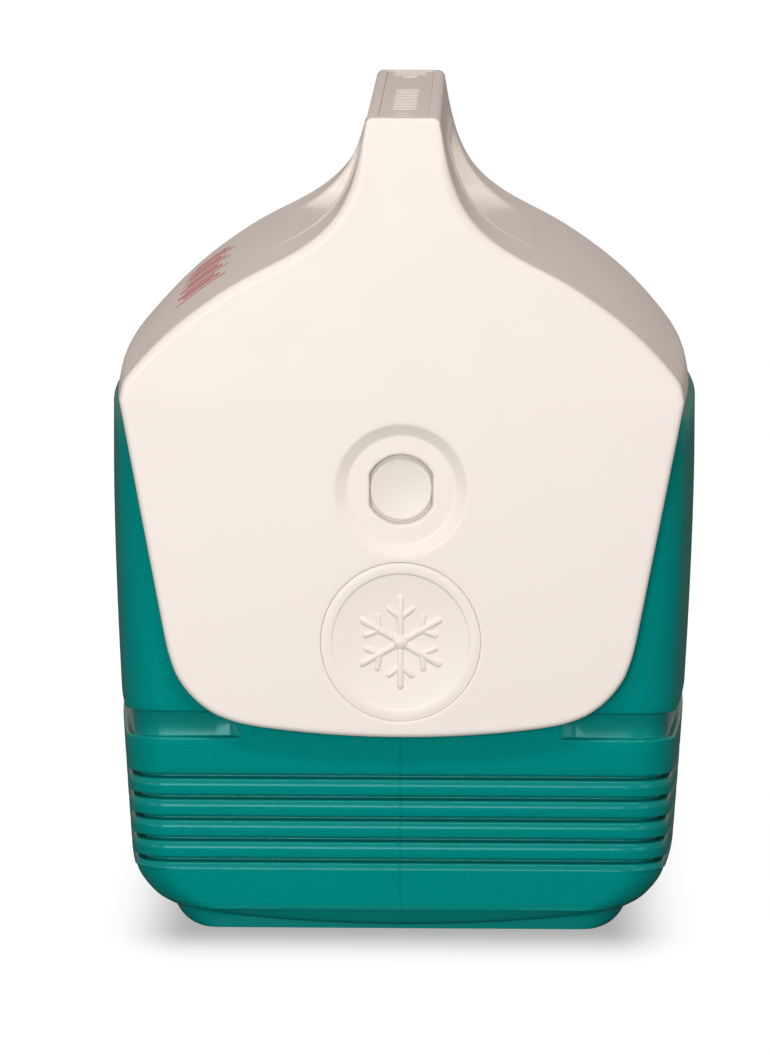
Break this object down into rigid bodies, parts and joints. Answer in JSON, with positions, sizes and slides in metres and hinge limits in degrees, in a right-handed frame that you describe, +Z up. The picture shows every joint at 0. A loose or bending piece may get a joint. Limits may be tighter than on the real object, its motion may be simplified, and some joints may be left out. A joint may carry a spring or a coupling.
{
  "type": "personal cooler",
  "caption": "Small hard-sided cooler: ribbed teal tub, cream tent-top lid with handle that swings about end pivots, and a sprung push-button lock.",
  "frame": {"origin": "on the ground under the middle of the cooler", "axes": "+X across the tub towards its right side seen from the button end, +Y along the tub from the button end to the rear end, +Z up"},
  "size_m": [0.2064, 0.29, 0.28],
  "materials": {
    "tub_plastic": "teal polyethylene, pebble-textured on the flat bands and smooth in the grooves",
    "lid_plastic": "cream moulded plastic, satin",
    "button_plastic": "slightly greyer cream, satin",
    "liner_plastic": "smooth white liner",
    "plate_plastic": "smooth cream strip",
    "foam": "rigid insulating foam",
    "housing_plastic": "dark teal moulded plastic",
    "washer_plastic": "low-friction natural plastic",
    "spring_steel": "bright drawn wire"
  },
  "bodies": {
    "tub": {"outer_shell": "tub_plastic", "fill_plug": "tub_plastic", "tub_liner": "liner_plastic", "tub_foam": "foam", "latch_housing": "housing_plastic", "button_bezel": "button_plastic", "button_spring": "spring_steel", "pivot_bushing_front": "housing_plastic", "pivot_bushing_rear": "housing_plastic"},
    "lid": {"lid_shell": "lid_plastic", "lid_liner": "liner_plastic", "lid_foam": "foam", "handle_plate": "plate_plastic", "pivot_plug_front": "lid_plastic", "pivot_plug_rear": "lid_plastic", "pivot_clip_front": "spring_steel", "pivot_clip_rear": "spring_steel", "pivot_washer_front": "washer_plastic", "pivot_washer_rear": "washer_plastic"},
    "button": {"push_button": "button_plastic"}
  },
  "joints": [
    {"name": "lid_swing", "type": "hinge", "parent": "tub", "child": "lid", "pos_m": [0, 0, 0.101], "axis": [0, 1, 0], "range_deg": [-85, 85]},
    {"name": "button_push", "type": "slide", "parent": "tub", "child": "button", "axis": [0, 1, 0], "range_m": [0, 0.005], "stiffness_N_per_m": 400, "springref_m": -0.004, "deforming": ["button_spring"]}
  ]
}
